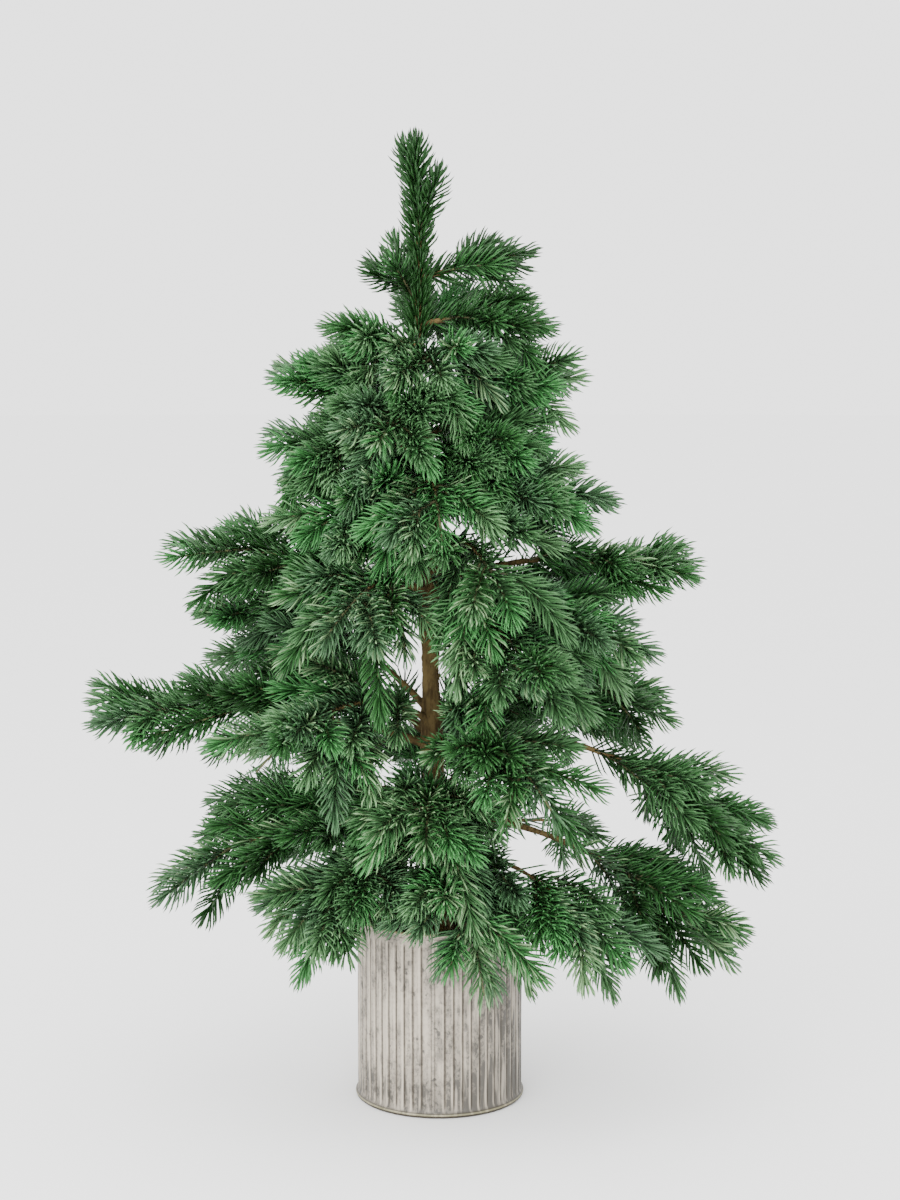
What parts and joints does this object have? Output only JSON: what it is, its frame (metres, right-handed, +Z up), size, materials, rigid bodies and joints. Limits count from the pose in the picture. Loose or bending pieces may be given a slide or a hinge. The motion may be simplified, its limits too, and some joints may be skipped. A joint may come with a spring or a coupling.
{
  "type": "artificial potted pine tree",
  "caption": "Tabletop artificial pine with a crooked trunk, spreading boughs of soft needles and a ribbed round metal bucket as its base.",
  "frame": {"origin": "centre of the bucket's flat underside", "axes": "+Z up along the trunk, -Y towards the front, +X to the tree's right-hand side as seen from the front"},
  "size_m": [0.7101, 0.4729, 0.9999],
  "materials": {
    "needles": "matte moulded evergreen needles",
    "bark": "rough brown bark wrap",
    "zinc": "weathered, whitewashed zinc",
    "fill": "rough dark brown"
  },
  "bodies": {
    "root": {"bucket": "zinc", "fill": "fill", "foliage_back": "needles", "foliage_back_left": "needles", "foliage_back_right": "needles", "foliage_front_left": "needles", "foliage_front_right": "needles", "foliage_high_back_a": "needles", "foliage_high_back_b": "needles", "foliage_high_back_c": "needles", "foliage_high_front_a": "needles", "foliage_high_front_b": "needles", "foliage_high_front_c": "needles", "foliage_high_left_a": "needles", "foliage_high_left_b": "needles", "foliage_high_left_c": "needles", "foliage_high_right_a": "needles", "foliage_high_right_b": "needles", "foliage_high_right_c": "needles", "foliage_leader": "needles", "foliage_left": "needles", "foliage_low_back_left": "needles", "foliage_low_back_right": "needles", "foliage_low_front": "needles", "foliage_low_front_left": "needles", "foliage_low_front_right": "needles", "foliage_low_left": "needles", "foliage_low_left_back": "needles", "foliage_low_right": "needles", "foliage_low_right_front": "needles", "foliage_mid_back_a": "needles", "foliage_mid_back_b": "needles", "foliage_mid_back_c": "needles", "foliage_mid_front_a": "needles", "foliage_mid_front_b": "needles", "foliage_mid_front_c": "needles", "foliage_mid_left_a": "needles", "foliage_mid_left_b": "needles", "foliage_mid_right_a": "needles", "foliage_mid_right_b": "needles", "foliage_mid_right_c": "needles", "foliage_right": "needles", "foliage_top_left": "needles", "foliage_top_right": "needles", "foliage_upper_left": "needles", "foliage_upper_right": "needles", "limb_back_left": "bark", "limb_back_right": "bark", "limb_front_right": "bark", "limb_left": "bark", "limb_low_back_right": "bark", "limb_low_left": "bark", "limb_low_left_back": "bark", "limb_low_right": "bark", "limb_mid_right_c": "bark", "limb_right": "bark", "limb_upper_left": "bark", "limb_upper_right": "bark", "trunk": "bark"}
  },
  "joints": []
}
